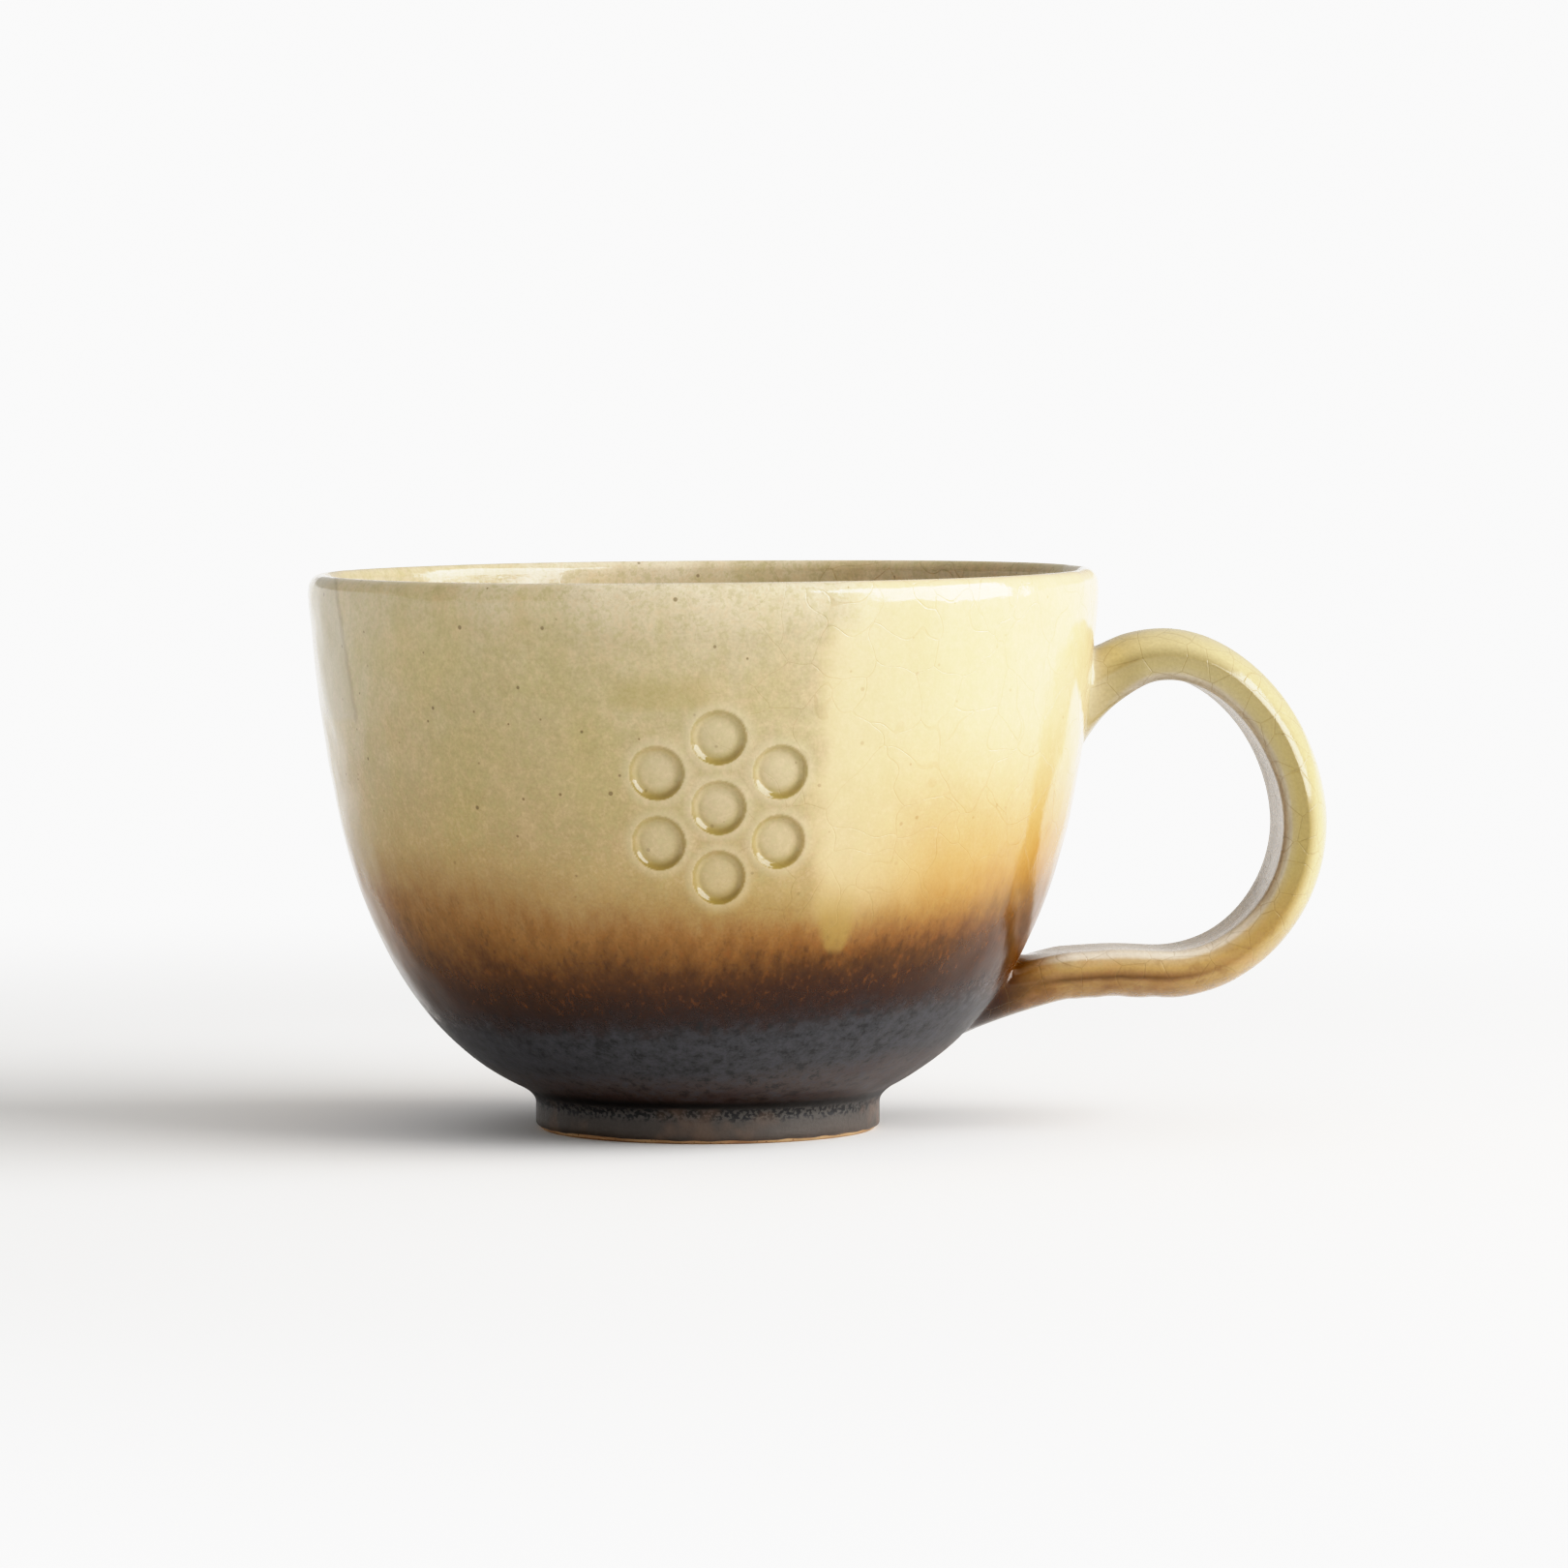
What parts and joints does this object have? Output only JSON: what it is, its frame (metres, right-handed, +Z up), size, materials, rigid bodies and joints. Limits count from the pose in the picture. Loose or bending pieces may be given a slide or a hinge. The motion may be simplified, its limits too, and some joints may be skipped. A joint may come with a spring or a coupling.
{
  "type": "stoneware mug",
  "caption": "Thrown stoneware mug: deep round bowl on a turned foot ring, one pulled strap handle, pale ash glaze over a dark base band, for holding a hot drink.",
  "frame": {"origin": "centre of the foot ring's resting face, on the mug's axis", "axes": "+Z up along the mug's axis, +X towards the handle, +Y across it"},
  "size_m": [0.1421, 0.11, 0.0777],
  "materials": {
    "clay": "bare fired stoneware, toasted buff, fine sandy tooth",
    "ash_glaze": "pale khaki ash glaze, glossy, crazed, with fine iron specks",
    "liner_glaze": "pale buff liner glaze, glossy, with fine iron specks",
    "iron_glaze": "blue-grey and brown-black iron glaze, satin, mottled",
    "amber_glaze": "honey-brown glaze where the coats overlap and pool, glossy"
  },
  "bodies": {
    "root": {"bowl": "clay", "foot_ring": "clay", "handle_strap": "clay", "upper_root": "ash_glaze", "lower_root": "amber_glaze", "liner_glaze": "liner_glaze", "ash_glaze": "ash_glaze", "iron_glaze": "iron_glaze", "handle_glaze": "ash_glaze"}
  },
  "joints": []
}
